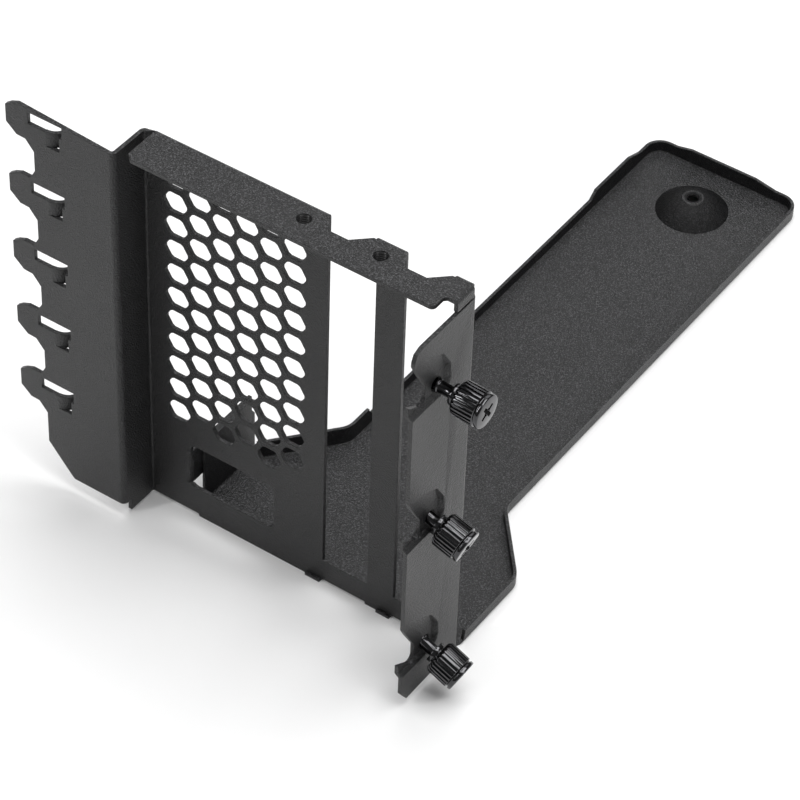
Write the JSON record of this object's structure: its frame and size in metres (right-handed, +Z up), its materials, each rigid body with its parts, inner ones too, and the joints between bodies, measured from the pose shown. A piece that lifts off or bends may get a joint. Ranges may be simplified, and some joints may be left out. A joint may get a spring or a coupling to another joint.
{
  "type": "graphics card support bracket",
  "caption": "Folded slot panel with hooked side fingers, hexagon mesh and tall openings, thumbscrews on its flange and a long shallow support tray with a boss.",
  "frame": {"origin": "middle of the base of the part's bounding box, on the tray's underside plane", "axes": "+X along the slot panel towards the thumbscrews, +Y from the panel's front along the tray to its far end, +Z up"},
  "size_m": [0.1322, 0.2074, 0.1167],
  "materials": {
    "powder_coat": "satin black powder coat with a fine grain",
    "screw_metal": "glossy black nickel"
  },
  "bodies": {
    "bracket": {"slot_plate": "powder_coat", "support_tray": "powder_coat"},
    "thumbscrew_top": {"thumbscrew_top": "screw_metal"},
    "thumbscrew_middle": {"thumbscrew_middle": "screw_metal"},
    "thumbscrew_bottom": {"thumbscrew_bottom": "screw_metal"}
  },
  "joints": [
    {"name": "thumbscrew_top_turn", "type": "hinge", "parent": "bracket", "child": "thumbscrew_top", "pos_m": [0.05209, -0.09345, 0.0951], "axis": [0.9981, 0, -0.061], "continuous": true},
    {"name": "thumbscrew_middle_turn", "type": "hinge", "parent": "bracket", "child": "thumbscrew_middle", "pos_m": [0.05209, -0.09345, 0.05446], "axis": [0.9511, 0, -0.309], "continuous": true},
    {"name": "thumbscrew_bottom_turn", "type": "hinge", "parent": "bracket", "child": "thumbscrew_bottom", "pos_m": [0.05209, -0.09345, 0.01382], "axis": [0.91, 0, -0.4147], "continuous": true}
  ]
}
